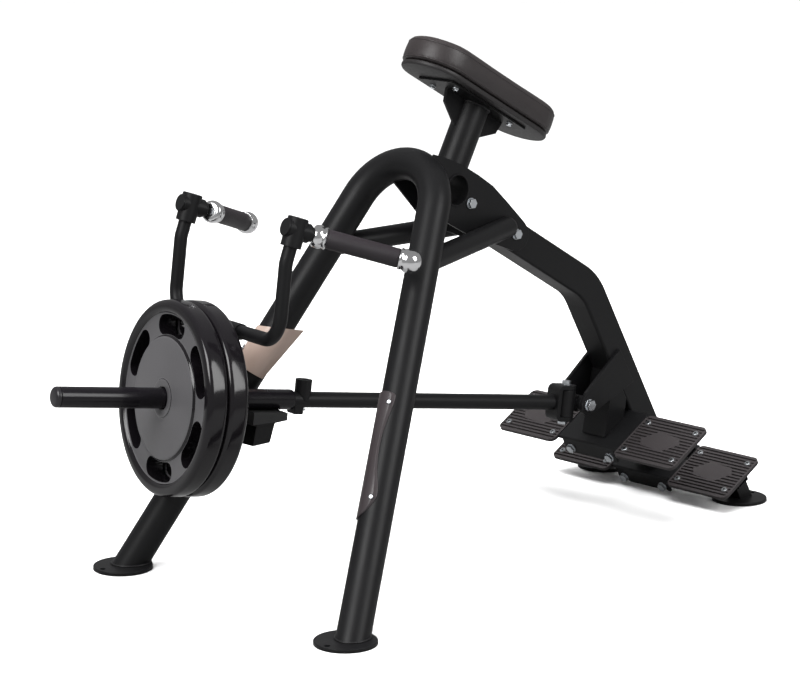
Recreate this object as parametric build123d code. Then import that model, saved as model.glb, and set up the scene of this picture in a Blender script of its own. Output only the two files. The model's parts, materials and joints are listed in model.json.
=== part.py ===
from build123d import *
import math
import os

# Plate-loaded, chest-supported T-bar row. Millimetres, +Z up, origin on the floor midway
# between the two front floor bolts. The weight end is -Y, the user stands at +Y.

GAP = 0.06  # clearance left between welded or clamped pieces

# Arch
ARCH_R, ARCH_WALL = 38.1, 3.0
ARCH_BASE_Y = 74.7
ARCH_LEAN = 30.24
LEG_SPLAY = 14.8
ARCH_BEND_R = 129.0
ARCH_CENTRE_H = 955.6
FOOT_R, FOOT_T, FOOT_HOLE_R = 70.0, 8.0, 7.0
FOOT_X, FOOT_Y, FRONT_HOLE_X = 384.0, 56.6, 388.0
REAR_FOOT_X, REAR_FOOT_Y, REAR_HOLE_Y = 232.0, 1566.0, 1617.0

# Spine: square tube bent from a 30 degree slope to a 60 degree slope
SPINE_SIDE, SPINE_WALL, SPINE_BEND_R = 76.2, 3.2, 150.0
SPINE_TOP = (770.0, 829.2)
SPINE_VERTEX = (1207.6, 576.5)

# Hub between arch, post and spine
HUB_IN_X, HUB_T = 38.2, 6.0
HUB_TUBE_YZ, HUB_TUBE_R, HUB_TUBE_WALL = (729.0, 869.0), 38.0, 3.0
HUB_BOLTS_YZ = [(774.0, 833.0), (929.0, 741.0)]
STRUT_R, STRUT_WALL = 25.4, 2.6
STRUT_FRONT, STRUT_REAR = (160.0, 505.0, 739.0), (52.0, 889.0, 763.0)

# Chest pad
PAD_SLOPE = 28.5
PAD_ORIGIN = (0, 830.0, 1058.0)
POST_R, POST_WALL = 38.1, 3.2
BOARD_HALF, BOARD_T, BOARD_CORNER = (86.0, 230.0), 13.0, 84.0
CUSHION_HALF, CUSHION_T, CUSHION_CORNER = (90.0, 234.0), 64.0, 88.0
PAD_CENTRE_V = -3.0
PAD_BOLTS = [(38.0, -111.0), (-38.0, -111.0), (38.0, 93.0), (-38.0, 93.0)]

# Foot plates and the stepped channels they stand on
STEP_ORIGINS = {"upper": (0, 1290.0, 194.0), "lower": (0, 1496.0, 80.0)}
STEP_SLOPE = 30.0
PLATE_X, PLATE_HALF, PLATE_T, PLATE_CORNER = 199.0, (98.0, 79.0), 8.0, 17.0
RIB_COUNT, RIB_DEPTH = 14, 3.2
SCREW_U, SCREW_Q = 77.0, 51.5
CHANNEL_HALF_X, FLANGE_HALF_X = 99.0, 86.0
BEAM_SIDE, BEAM_HALF_X, BEAM_WALL = 40.0, 262.0, 3.0

# Universal joint at the rear of the lever
PITCH_PIN = (0, 1194.8, 276.8)
PIN_R = 8.0
EAR_IN_X, EAR_T = 38.2, 7.8
RACK_PITCH = 7.89
RACK_YAW = 11.71
YAW_OFFSET = 40.0
BARREL_R, BARREL_HALF = 25.0, 34.0

# Lever, distances counted forward from the pitch pin
LEVER_R, LEVER_WALL = 19.05, 3.0
SLEEVE_R, SLEEVE_REAR_R = 24.15, 23.9
SLEEVE_START, SLEEVE_STEP, SLEEVE_END = 831.0, 1176.0, 1443.0
YOKE_R, YOKE_HALF_W, YOKE_H, YOKE_S = 15.9, 248.3, 167.0, 1026.0
YOKE_KNEE_H, ARM_LEAN = 346.0, 12.0
TEE_H = 421.0
NECK_BALL = 64.5
GRIP_OUT, GRIP_DOWN, GRIP_REACH = 36.5, 9.0, 210.0

# Weight plates
DISC_R, DISC_T, DISC_BORE_R = 225.0, 51.4, 25.4
DISC_FRONT_S = 1171.5
SLOT_ANGLES = [90, 30, -30, -90, -150, 150]
SLOT_R, SLOT_WIDTH, SLOT_HALF_DEG = 168.5, 46.0, 13.5

os.makedirs("parts", exist_ok=True)


def save(name, *shapes):
    """Writes one or more solids as a node."""
    shape = shapes[0] if len(shapes) == 1 else Compound(children=list(shapes))
    export_step(shape, "parts/" + name + ".step")


def rod(start, end, radius):
    """A solid round bar between two points."""
    axis = Vector(*end) - Vector(*start)
    return extrude(Plane(origin=start, z_dir=axis) * Circle(radius), axis.length, axis.normalized())


def slab_yz(points, x0, x1):
    """A flat plate whose outline lies in the YZ plane, from x0 to x1."""
    face = make_face(Polyline(*[(y, z) for y, z in points], close=True))
    return Plane(origin=(x0, 0, 0), x_dir=(0, 1, 0), z_dir=(1, 0, 0)) * extrude(face, x1 - x0)


def rod_x(yz, radius, x0, x1):
    """A round bar along X."""
    return rod((x0, yz[0], yz[1]), (x1, yz[0], yz[1]), radius)


def hex_prism(across, height):
    """A bolt head standing on z=0."""
    head = extrude(RegularPolygon(across / 2, 6, major_radius=False), height)
    return head & Pos(0, 0, height / 2) * Sphere(across * 0.72)


def through_bolt(radius, length, head=20.0, head_t=9.0):
    """A bolt along Z with washers, head and nut outside z=0 and z=length."""
    shape = Cylinder(radius, length + 2, align=(Align.CENTER, Align.CENTER, Align.MIN))
    shape = Pos(0, 0, -1) * shape
    washer = Cylinder(head * 0.62, 2, align=(Align.CENTER, Align.CENTER, Align.MIN))
    shape += Pos(0, 0, length + GAP) * washer
    shape += Pos(0, 0, length + GAP + 2) * hex_prism(head, head_t)
    shape += Pos(0, 0, -GAP - 2) * washer
    shape += Plane(origin=(0, 0, -GAP - 2), z_dir=(0, 0, -1)) * hex_prism(head, head_t - 1)
    return shape


def bolt_x(yz, radius, half, head=20.0, head_t=9.0):
    """A through bolt along X, clamping between -half and +half."""
    plane = Plane(origin=(-half, yz[0], yz[1]), x_dir=(0, 1, 0), z_dir=(1, 0, 0))
    return plane * through_bolt(radius, 2 * half, head, head_t)


def screw(radius, depth, head_r, head_t):
    """A domed screw with its head above z=0."""
    shank = Cylinder(radius, depth, align=(Align.CENTER, Align.CENTER, Align.MAX))
    head = Pos(0, 0, -GAP) * Cylinder(head_r, head_t, align=(Align.CENTER, Align.CENTER, Align.MIN))
    head = fillet(head.edges().sort_by(Axis.Z)[-1], head_t * 0.5)
    return shank + Pos(0, 0, 2 * GAP) * head


# ---------------------------------------------------------------- arch and front feet
lean = math.radians(ARCH_LEAN)
splay = math.radians(LEG_SPLAY)
arch_plane = Plane(
    origin=(0, ARCH_BASE_Y, 0), x_dir=(1, 0, 0), z_dir=(0, -math.cos(lean), math.sin(lean))
)
tangent = (ARCH_BEND_R * math.cos(splay), ARCH_CENTRE_H + ARCH_BEND_R * math.sin(splay))


def leg_x(height):
    """Half distance between the leg axes at an in-plane height."""
    return tangent[0] + (tangent[1] - height) * math.tan(splay)


def arch_sweep(radius):
    """The solid of the arch tube with the given outer radius."""
    low = -60.0
    path = Line((-leg_x(low), low), (-tangent[0], tangent[1]))
    path += ThreePointArc(
        (-tangent[0], tangent[1]), (0, ARCH_CENTRE_H + ARCH_BEND_R), (tangent[0], tangent[1])
    )
    path += Line((tangent[0], tangent[1]), (leg_x(low), low))
    path = arch_plane * path
    start = arch_plane.from_local_coords((-leg_x(low), low, 0))
    ahead = arch_plane.from_local_coords((-tangent[0], tangent[1], 0)) - start
    return sweep(Plane(origin=start, z_dir=ahead) * Circle(radius), path=path)


below_floor = Pos(0, 0, -500 + FOOT_T + GAP) * Box(2000, 1000, 1000)
arch_solid = arch_sweep(ARCH_R)
arch_tube = arch_solid - arch_sweep(ARCH_R - ARCH_WALL) - below_floor
arch_cutter = arch_sweep(ARCH_R + GAP)
save("arch_frame", arch_tube)


def foot(x, y, hole_x, hole_y):
    """A round floor plate with one anchor hole."""
    disc = Pos(x, y, 0) * Cylinder(FOOT_R, FOOT_T, align=(Align.CENTER, Align.CENTER, Align.MIN))
    disc = chamfer(disc.edges().sort_by(Axis.Z)[-1], 1.2)
    return disc - Pos(hole_x, hole_y, 0) * Cylinder(FOOT_HOLE_R, 60)


save("front_foot_right", foot(FOOT_X, FOOT_Y, FRONT_HOLE_X, 0))
save("front_foot_left", foot(-FOOT_X, FOOT_Y, -FRONT_HOLE_X, 0))

# ---------------------------------------------------------------- spine
spine_plane = Plane(origin=(0, 0, 0), x_dir=(0, 1, 0), z_dir=(1, 0, 0))
lower_dir = (math.sin(math.radians(30)), -math.cos(math.radians(30)))
SPINE_END = (SPINE_VERTEX[0] + lower_dir[0] * 560, SPINE_VERTEX[1] + lower_dir[1] * 560)


def step_plane(level):
    """Foot plate plane: local x = X, local y rearward up the slope, local z out of it."""
    slope = math.radians(STEP_SLOPE)
    normal = (0, -math.sin(slope), math.cos(slope))
    return Plane(origin=STEP_ORIGINS[level], x_dir=(1, 0, 0), z_dir=normal)


def spine_sweep(side):
    """The solid of the bent square tube with the given side."""
    path = spine_plane * FilletPolyline(SPINE_TOP, SPINE_VERTEX, SPINE_END, radius=SPINE_BEND_R)
    ahead = (0, SPINE_VERTEX[0] - SPINE_TOP[0], SPINE_VERTEX[1] - SPINE_TOP[1])
    corner = 7.0 if side == SPINE_SIDE else 4.0
    start = Plane(origin=(0, *SPINE_TOP), x_dir=(1, 0, 0), z_dir=ahead)
    return sweep(start * RectangleRounded(side, side, corner), path=path)


under_lower = step_plane("lower") * Pos(0, 0, -200 - 1.0 + GAP) * Box(400, 800, 400)
spine = spine_sweep(SPINE_SIDE) - spine_sweep(SPINE_SIDE - 2 * SPINE_WALL) - under_lower
for yz in HUB_BOLTS_YZ:
    spine -= rod_x(yz, 6.1, -60, 60)
save("spine_tube", spine)

# ---------------------------------------------------------------- hub plates
hub_outline = [
    (604, 893), (680, 814), (689, 800), (755, 765), (920, 701), (940, 700), (962, 708),
    (974, 728), (972, 748), (960, 764), (938, 785), (894, 826), (849, 866), (800, 897),
    (751, 924), (700, 946), (655, 960), (640, 940),
]


def hub_plate(sign):
    """One side plate, coped round the arch tube and bored for the cross tube and bolts."""
    x0, x1 = sorted((sign * HUB_IN_X, sign * (HUB_IN_X + HUB_T)))
    plate = slab_yz(hub_outline, x0, x1)
    plate -= arch_cutter
    plate -= rod_x(HUB_TUBE_YZ, HUB_TUBE_R + GAP, -80, 80)
    for yz in HUB_BOLTS_YZ:
        plate -= rod_x(yz, 6.1, -80, 80)
    return max(plate.solids(), key=lambda s: s.volume)


save("hub_plate_right", hub_plate(1))
save("hub_plate_left", hub_plate(-1))
hub_reach = HUB_IN_X + HUB_T
cross_tube = rod_x(HUB_TUBE_YZ, HUB_TUBE_R, -hub_reach - 2, hub_reach + 2)
cross_tube -= rod_x(HUB_TUBE_YZ, HUB_TUBE_R - HUB_TUBE_WALL, -80, 80)
save("hub_cross_tube", cross_tube)
save("hub_bolts", *[bolt_x(yz, 6.0, hub_reach, 21, 8) for yz in HUB_BOLTS_YZ])


def strut(sign):
    """A side brace from a leg to the hub plate, with a rounded rear end."""
    front = (sign * STRUT_FRONT[0], *STRUT_FRONT[1:])
    rear = (sign * STRUT_REAR[0], *STRUT_REAR[1:])
    body = rod(front, rear, STRUT_R) + Pos(*rear) * Sphere(STRUT_R)
    middle = tuple(front[i] + (rear[i] - front[i]) * 0.72 for i in range(3))
    body -= rod(front, middle, STRUT_R - STRUT_WALL)
    keep_out = Box(2 * (hub_reach + GAP), 3000, 3000)
    return body - keep_out - arch_cutter


save("strut_right", strut(1))
save("strut_left", strut(-1))

# ---------------------------------------------------------------- chest pad
pad_slope = math.radians(PAD_SLOPE)
pad_plane = Plane(
    origin=PAD_ORIGIN, x_dir=(1, 0, 0), z_dir=(0, math.sin(pad_slope), math.cos(pad_slope))
)
MOUNT_T = 5.0
post_top = -MOUNT_T - GAP
post_low = -214.0


def pad_rod(v, w0, w1, radius, u=0.0):
    """A round bar square to the pad."""
    height = w1 - w0
    bar = Cylinder(radius, height, align=(Align.CENTER, Align.CENTER, Align.MIN))
    return pad_plane * Pos(u, v, w0) * bar


post = pad_rod(0, post_low, post_top, POST_R)
post -= pad_rod(0, post_low - 5, post_top + 5, POST_R - POST_WALL)
post -= rod_x(HUB_TUBE_YZ, HUB_TUBE_R + GAP, -80, 80)
post -= spine_sweep(SPINE_SIDE + 2 * GAP)
post -= rod_x(HUB_BOLTS_YZ[0], 8, -80, 80)
save("pad_post", max(post.solids(), key=lambda s: s.volume))


def pad_gusset(sign):
    """A triangular web between the post and the pad mounting plate."""
    points = [(38.1 + GAP, -MOUNT_T), (104, -MOUNT_T), (96, -35), (38.1 + GAP, -72)]
    points = [(sign * v, w) for v, w in points]
    face = make_face(Polyline(*points, close=True))
    web = Plane(origin=(-4, 0, 0), x_dir=(0, 1, 0), z_dir=(1, 0, 0)) * extrude(face, 8)
    return web


mount = Pos(0, -7.5, -MOUNT_T) * extrude(RectangleRounded(120, 283, 12), MOUNT_T)
board = Pos(0, PAD_CENTRE_V, GAP) * extrude(
    RectangleRounded(2 * BOARD_HALF[0], 2 * BOARD_HALF[1], BOARD_CORNER), BOARD_T
)
cushion = Pos(0, PAD_CENTRE_V, BOARD_T + 2 * GAP) * extrude(
    RectangleRounded(2 * CUSHION_HALF[0], 2 * CUSHION_HALF[1], CUSHION_CORNER), CUSHION_T
)
cushion = fillet(cushion.edges().group_by(Axis.Z)[-1], 12)
cushion = fillet(cushion.edges().group_by(Axis.Z)[0], 5)
pad_screws = []
for u, v in PAD_BOLTS:
    mount -= Pos(u, v, 0) * Cylinder(4.2, 40)
    board -= Pos(u, v, 0) * Cylinder(4.2, 21.0)
    turned = Pos(u, v, -MOUNT_T) * Rot(180, 0, 0) * (
        screw(4.0, 14, 7.5, 2) + Pos(0, 0, 1.9) * hex_prism(12, 5)
    )
    pad_screws.append(pad_plane * turned)
save("pad_mounting_plate", pad_plane * (mount + pad_gusset(-1) + pad_gusset(1)))
save("pad_back_board", pad_plane * board)
save("chest_cushion", pad_plane * cushion)
save("pad_screws", *pad_screws)

# ---------------------------------------------------------------- stepped foot rests
FLANGE_Q = -59.0
BACKING_T = 4.0
BEAM_TOP = -PLATE_T - GAP - BACKING_T
BEAM_Q = 8.0
BAR_T = 6.0


def step_box(level, x, q, w):
    """A box in foot plate coordinates from three (low, high) pairs."""
    size = [high - low for low, high in (x, q, w)]
    middle = [(high + low) / 2 for low, high in (x, q, w)]
    return step_plane(level) * Pos(*middle) * Box(*size)


def channel(level, rear_q):
    """A bent plate: flat top with a flange turned down at the front."""
    profile = [(FLANGE_Q, -47), (FLANGE_Q, -1), (rear_q, -1), (rear_q, -7), (-53, -7), (-53, -47)]
    face = make_face(Polyline(*profile, close=True))
    solid = extrude(face, 2 * CHANNEL_HALF_X)
    solid = Plane(origin=(-CHANNEL_HALF_X, 0, 0), x_dir=(0, 1, 0), z_dir=(1, 0, 0)) * solid
    bend = [e for e in solid.edges().filter_by(Axis.X) if abs(e.center().Y - FLANGE_Q) < 0.1]
    solid = fillet([e for e in bend if e.center().Z > -5], 5)
    for side in (-1, 1):
        corner = Pos(side * (FLANGE_HALF_X - 8), FLANGE_Q, -47) * Rot(0, side * 45, 0)
        solid -= corner * Pos(side * 12, 0, -12) * Box(60, 14, 24)
    for side in (-1, 1):
        spare = CHANNEL_HALF_X - FLANGE_HALF_X
        middle = side * (FLANGE_HALF_X + spare / 2 + 1)
        solid -= Pos(middle, FLANGE_Q, -30) * Box(spare + 2, 13, 46.5)
    solid = step_plane(level) * solid
    for x in (-65, 65):
        solid -= step_plane(level) * Pos(x, -50, -33) * Rot(90, 0, 0) * Cylinder(6.1, 60)
    return solid


def beam(level):
    """A square cross tube with the flat plates welded on it for the treads."""
    q = (BEAM_Q, BEAM_Q + BEAM_SIDE)
    w = (BEAM_TOP - BEAM_SIDE, BEAM_TOP)
    solid = step_box(level, (-BEAM_HALF_X, BEAM_HALF_X), q, w)
    wall = BEAM_WALL
    inner_q = (q[0] + wall, q[1] - wall)
    inner_w = (w[0] + wall, w[1] - wall)
    solid -= step_box(level, (-BEAM_HALF_X - 5, BEAM_HALF_X + 5), inner_q, inner_w)
    bar_q = -53 + GAP
    solid += step_box(level, (-82, 82), (bar_q, q[1]), (BEAM_TOP, -7 - GAP))
    solid += step_box(level, (-82, 82), (bar_q, bar_q + BAR_T), (-45, BEAM_TOP))
    for x in (-65, 65):
        solid -= step_plane(level) * Pos(x, -50, -33) * Rot(90, 0, 0) * Cylinder(6.1, 60)
    return solid + backing_plate(level, 1) + backing_plate(level, -1)


def flange_bolt(level, x):
    """A bolt through the flange and the bar welded behind it."""
    bolt = through_bolt(6.0, 6 + GAP + BAR_T, 20, 8)
    return step_plane(level) * Pos(x, FLANGE_Q, -33) * Rot(-90, 0, 0) * bolt


def foot_plate(level, sign):
    """A ribbed tread with a plain lozenge in the middle."""
    base = extrude(RectangleRounded(2 * PLATE_HALF[0], 2 * PLATE_HALF[1], PLATE_CORNER), PLATE_T)
    base = Pos(0, 0, -PLATE_T) * base
    pitch = 2 * (PLATE_HALF[1] - 6) / RIB_COUNT
    lozenge = Polygon((-60, -4), (-26, 30), (44, 26), (60, 4), (26, -30), (-44, -26), align=None)
    keep = extrude(lozenge, 10, both=True)
    for u in (-SCREW_U, SCREW_U):
        for q in (-SCREW_Q, SCREW_Q):
            keep += Pos(u, q, 0) * Cylinder(10, 20)
    for i in range(RIB_COUNT):
        q = -PLATE_HALF[1] + 6 + pitch * (i + 0.5)
        groove = Pos(0, q, -RIB_DEPTH / 2) * Box(2 * PLATE_HALF[0] - 10, pitch * 0.5, RIB_DEPTH)
        base -= groove - keep
    for u in (-SCREW_U, SCREW_U):
        for q in (-SCREW_Q, SCREW_Q):
            base -= Pos(u, q, 0) * Cylinder(4.1, 60)
    return step_plane(level) * Pos(sign * PLATE_X, 0, 0) * base


def backing_plate(level, sign):
    """A flat steel plate under a tread, welded on the cross tube."""
    plate = extrude(RectangleRounded(176, 140, 10), BACKING_T)
    plate = Pos(0, 0, -PLATE_T - GAP - BACKING_T) * plate
    for u in (-SCREW_U, SCREW_U):
        for q in (-SCREW_Q, SCREW_Q):
            plate -= Pos(u, q, 0) * Cylinder(4.1, 60)
    return step_plane(level) * Pos(sign * PLATE_X, 0, 0) * plate


upper_rear_q = 81.5
save("upper_step_channel", channel("upper", upper_rear_q))
save("lower_step_channel", channel("lower", 78.0))
tread_screws = []
for level in STEP_ORIGINS:
    save(level + "_step_beam", beam(level))
    for sign, side in ((1, "right"), (-1, "left")):
        save("foot_plate_" + level + "_" + side, foot_plate(level, sign))
        for u in (-SCREW_U, SCREW_U):
            for q in (-SCREW_Q, SCREW_Q):
                spot = Pos(sign * PLATE_X + u, q, 0)
                tread_screws.append(step_plane(level) * spot * screw(4.0, 11.9, 7.5, 4))
save("foot_plate_screws", *tread_screws)
save("step_flange_bolts", *[flange_bolt(level, x) for level in STEP_ORIGINS for x in (-65, 65)])


def rear_post(sign):
    """A rear foot with the short leaning tube up to the lower cross tube."""
    top = BEAM_TOP - BEAM_SIDE - GAP
    x = sign * REAR_FOOT_X
    solid = step_box("lower", (x - 20, x + 20), (BEAM_Q, BEAM_Q + 40), (-150, top))
    solid -= step_box("lower", (x - 17, x + 17), (BEAM_Q + 3, BEAM_Q + 37), (-160, top + 5))
    solid -= Pos(0, 1500, -500 + FOOT_T) * Box(2000, 1000, 1000)
    return solid + foot(x, REAR_FOOT_Y, x, REAR_HOLE_Y)


save("rear_foot_right", rear_post(1))
save("rear_foot_left", rear_post(-1))

# ---------------------------------------------------------------- pedestal and pivot ears
pedestal_points = [(1264, 180), (1297.6, 345), (1345, 272), (1335, 214)]
pedestal = slab_yz(pedestal_points, -37.9, 37.9)
pedestal -= slab_yz([(1270, 150), (1300, 350), (1341, 350), (1331, 150)], -34, 34)
pedestal -= spine_sweep(SPINE_SIDE + 2 * GAP)
pedestal -= step_plane("upper") * Pos(0, 0, -100 - 1 + GAP) * Box(400, 400, 200)
save("pivot_pedestal", max(pedestal.solids(), key=lambda s: s.volume))

ear_outline = [(1218, 255), (1325, 296), (1362, 311), (1310, 401), (1278, 379), (1184, 308)]


def ear(sign):
    """A plate reaching forward from the spine side to the pitch pin."""
    x0, x1 = sorted((sign * EAR_IN_X, sign * (EAR_IN_X + EAR_T)))
    plate = slab_yz(ear_outline, x0, x1) + rod_x(PITCH_PIN[1:], 26, x0, x1)
    wedge = [(1205, 252.9), (1218, 255), (1184, 308), (1175, 293)]
    plate += slab_yz(wedge, x0, x1)
    return plate - rod_x(PITCH_PIN[1:], PIN_R + 0.05, -80, 80)


save("pivot_ear_right", ear(1))
save("pivot_ear_left", ear(-1))
save("pitch_pin_bolt", bolt_x(PITCH_PIN[1:], PIN_R, EAR_IN_X + EAR_T, 24, 10))

# ---------------------------------------------------------------- universal link
pitch = math.radians(RACK_PITCH)
yaw = math.radians(RACK_YAW)
yaw_normal = Vector(0, math.sin(pitch), math.cos(pitch))
yaw_pin = Vector(*PITCH_PIN) + Vector(0, -math.cos(pitch), math.sin(pitch)) * YAW_OFFSET
link_plane = Plane(origin=yaw_pin, x_dir=(1, 0, 0), z_dir=yaw_normal)
lever_plane = link_plane * Rot(0, 0, -RACK_YAW)

barrel = Cylinder(BARREL_R, 2 * BARREL_HALF)
hub_barrel = Pos(0, YAW_OFFSET, 0) * Rot(0, 90, 0) * Cylinder(20, 68)
neck_block = Pos(0, YAW_OFFSET / 2, 0) * Box(40, YAW_OFFSET, 36)
link_local = barrel + hub_barrel + neck_block
link_local = fillet(link_local.edges().group_by(Axis.Z)[-1], 2.5)
link_local -= Pos(0, YAW_OFFSET, 0) * Rot(0, 90, 0) * Cylinder(PIN_R + 0.05, 90)
link_local -= Cylinder(PIN_R + 0.05, 90)
save("universal_link", link_plane * link_local)


def spacer(sign):
    """A bushing ring on the pitch pin between the link and an ear."""
    x0, x1 = sorted((sign * (34 + GAP), sign * (EAR_IN_X - GAP)))
    ring = rod_x(PITCH_PIN[1:], 22, x0, x1) - rod_x(PITCH_PIN[1:], PIN_R + 0.05, -80, 80)
    return ring


save("pitch_bushings", spacer(1), spacer(-1))

# ---------------------------------------------------------------- lever
CLEVIS_H, CLEVIS_T = 45.0, 10.5
CLEVIS_IN_S, CLEVIS_OUT_S = 67.0, 77.5


def lever_point(s, h, w=0.0):
    """Lever coordinates (forward, up, toward +X) as a local point."""
    return (w, YAW_OFFSET - s, h)


def on_lever(shape):
    """Puts a shape made in lever coordinates into the machine."""
    return lever_plane * shape


def lever_rod(s0, s1, radius, h=0.0, w=0.0):
    """A round bar along the lever, in lever coordinates."""
    return rod(lever_point(s0, h, w), lever_point(s1, h, w), radius)


strap = Box(50, CLEVIS_OUT_S - YAW_OFFSET, 2 * CLEVIS_H, align=(Align.CENTER, Align.MAX, Align.CENTER))
strap = fillet([e for e in strap.edges().filter_by(Axis.X) if e.center().Y < -30], 15)
strap += Cylinder(25, 2 * CLEVIS_H)
inner_h = CLEVIS_H - CLEVIS_T
inside = (80, CLEVIS_IN_S - YAW_OFFSET, 2 * inner_h)
cavity = Box(*inside, align=(Align.CENTER, Align.MAX, Align.CENTER))
cavity = fillet([e for e in cavity.edges().filter_by(Axis.X) if e.center().Y < -20], 2)
strap -= cavity
strap -= Cylinder(60, 2 * inner_h) & Pos(0, 40, 0) * Box(200, 80, 200)
strap -= Cylinder(PIN_R, 200)
save("lever_clevis", on_lever(strap))

yaw_bolt = Pos(0, 0, -CLEVIS_H) * through_bolt(PIN_R - 0.05, 2 * CLEVIS_H, 20, 8)
save("yaw_pin_bolt", on_lever(yaw_bolt))

LEVER_TUBE_END = 900.0
lever_tube = lever_rod(CLEVIS_OUT_S + GAP, LEVER_TUBE_END, LEVER_R)
lever_tube -= lever_rod(70, LEVER_TUBE_END + 5, LEVER_R - LEVER_WALL)
save("lever_tube", on_lever(lever_tube))

socket = Pos(*lever_point(801, 0)) * Cylinder(20, 49, align=(Align.CENTER, Align.CENTER, Align.MIN))
socket = fillet(socket.edges().group_by(Axis.Z)[-1], 1.5)
socket -= Pos(*lever_point(801, 20)) * Cylinder(11, 60, align=(Align.CENTER, Align.CENTER, Align.MIN))
socket -= lever_rod(600, 1000, LEVER_R + GAP)
save("accessory_socket", on_lever(socket))

under_block = Box(34, 24, 30, align=(Align.CENTER, Align.CENTER, Align.MAX))
under_block = fillet(under_block.edges().group_by(Axis.Z)[0], 3)
under_block = Pos(*lever_point(817, -3)) * under_block - lever_rod(600, 1000, LEVER_R + GAP)
save("rack_stop_block", on_lever(under_block))
under_screw = Pos(*lever_point(796, -21)) * Rot(180, 0, 0) * screw(3.0, 1.5, 6.5, 5)
save("socket_screw", on_lever(under_screw))

sleeve = lever_rod(SLEEVE_START, SLEEVE_STEP, SLEEVE_REAR_R)
sleeve += lever_rod(SLEEVE_STEP, SLEEVE_END - 12, SLEEVE_R)
sleeve -= lever_rod(820, 902, LEVER_R + GAP)
sleeve -= lever_rod(890, SLEEVE_END, SLEEVE_R - 4)
save("loading_sleeve", on_lever(sleeve))
cap = lever_rod(SLEEVE_END - 12 + GAP, SLEEVE_END, SLEEVE_R)
cap = fillet(cap.edges().sort_by(Axis.Y)[0], 7)
cap += lever_rod(SLEEVE_END - 40, SLEEVE_END - 10, SLEEVE_R - 4 - GAP)
save("sleeve_end_cap", on_lever(cap))
collar = lever_rod(1056, 1067.6, 33) - lever_rod(1000, 1100, SLEEVE_REAR_R + GAP)
save("sleeve_stop_collar", on_lever(collar))

# ---------------------------------------------------------------- yoke
lean_tan = math.tan(math.radians(ARM_LEAN))
ARM_TOP_H = TEE_H + 24


def arm_s(h):
    """Where the leaning top of an arm is along the lever, at a height."""
    return YOKE_S - (h - YOKE_KNEE_H) * lean_tan


def yoke_sweep(radius):
    """The solid of the bent yoke tube."""
    half = YOKE_HALF_W
    points = [
        lever_point(arm_s(ARM_TOP_H), ARM_TOP_H, -half), lever_point(YOKE_S, YOKE_KNEE_H, -half),
        lever_point(YOKE_S, YOKE_H, -half), lever_point(YOKE_S, YOKE_H, half),
        lever_point(YOKE_S, YOKE_KNEE_H, half), lever_point(arm_s(ARM_TOP_H), ARM_TOP_H, half),
    ]
    path = FilletPolyline(*points, radius=60)
    ahead = Vector(*points[1]) - Vector(*points[0])
    return sweep(Plane(origin=points[0], z_dir=ahead) * Circle(radius), path=path)


save("yoke_tube", on_lever(yoke_sweep(YOKE_R) - yoke_sweep(YOKE_R - 2.5)))


def bar_w(radius, w0, w1, s=YOKE_S, h=YOKE_H):
    """A round bar across the lever, in lever coordinates."""
    return rod(lever_point(s, h, w0), lever_point(s, h, w1), radius)


centre_sleeve = bar_w(18.7, -79, 79) - bar_w(YOKE_R + GAP, -90, 90)
save("yoke_centre_sleeve", on_lever(centre_sleeve))

riser = Pos(*lever_point(YOKE_S, 0)) * Box(44, 26, YOKE_H, align=(Align.CENTER, Align.CENTER, Align.MIN))
riser -= Pos(*lever_point(YOKE_S, 0)) * Box(34, 16, 400)
web_outline = [(21, 60), (70, YOKE_H - 10), (70, YOKE_H), (21, YOKE_H)]
for sign in (1, -1):
    web_face = make_face(Polyline(*[(sign * w, h) for w, h in web_outline], close=True))
    web_start = YAW_OFFSET - YOKE_S + 4
    riser += Plane(origin=(0, web_start, 0), x_dir=(1, 0, 0), z_dir=(0, -1, 0)) * extrude(web_face, 8)
riser -= bar_w(18.7 + GAP, -90, 90)
riser -= lever_rod(900, 1200, SLEEVE_REAR_R + GAP)
save("yoke_riser", on_lever(max(riser.solids(), key=lambda s: s.volume)))

# ---------------------------------------------------------------- handles
arm_lean = math.radians(ARM_LEAN)


def tee_plane(sign):
    """On the arm axis at barrel height: z up the arm, y rearward."""
    origin = lever_point(arm_s(TEE_H), TEE_H, sign * YOKE_HALF_W)
    return Plane(origin=origin, x_dir=(1, 0, 0), z_dir=(0, math.sin(arm_lean), math.cos(arm_lean)))


TEE_R, TEE_BORE_R, TEE_LOW, TEE_HIGH = 24.0, YOKE_R + 0.05, -40.0, 28.0


def tee(sign):
    """The swivelling casting: upright sleeve and crossways barrel."""
    height = TEE_HIGH - TEE_LOW
    upright = Pos(0, 0, TEE_LOW) * Cylinder(TEE_R, height, align=(Align.CENTER, Align.CENTER, Align.MIN))
    upright = fillet(upright.edges().group_by(Axis.Z)[-1], 3)
    body = upright + rod((0, -24, 0), (0, 34, 0), 22) + rod((0, -28, 0), (0, -20, 0), 20)
    body += rod((0, 30, 0), (0, NECK_BALL - 13, 0), 17)
    depth = 5 - TEE_LOW + 25
    bore = Cylinder(TEE_BORE_R, depth, align=(Align.CENTER, Align.CENTER, Align.MIN))
    body -= Pos(0, 0, TEE_LOW - 5) * bore
    return on_lever(tee_plane(sign) * body - grip_plane(sign) * Sphere(BALL_R + 0.2))


def grip_plane(sign):
    """On the knuckle ball: z along the grip toward its end."""
    at = tee_plane(sign).from_local_coords((0, NECK_BALL, 0))
    out, down = math.radians(GRIP_OUT), math.radians(GRIP_DOWN)
    direction = Vector(
        sign * math.sin(out) * math.cos(down), math.cos(out) * math.cos(down), -math.sin(down)
    )
    return Plane(origin=at, x_dir=(0, 0, 1), z_dir=direction)


GRIP_R, SPINDLE_R, GRIP_START, GRIP_END = 22.0, 9.0, 19.0, 184.0
BALL_R, DOME_R = 27.0, 27.5


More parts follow.
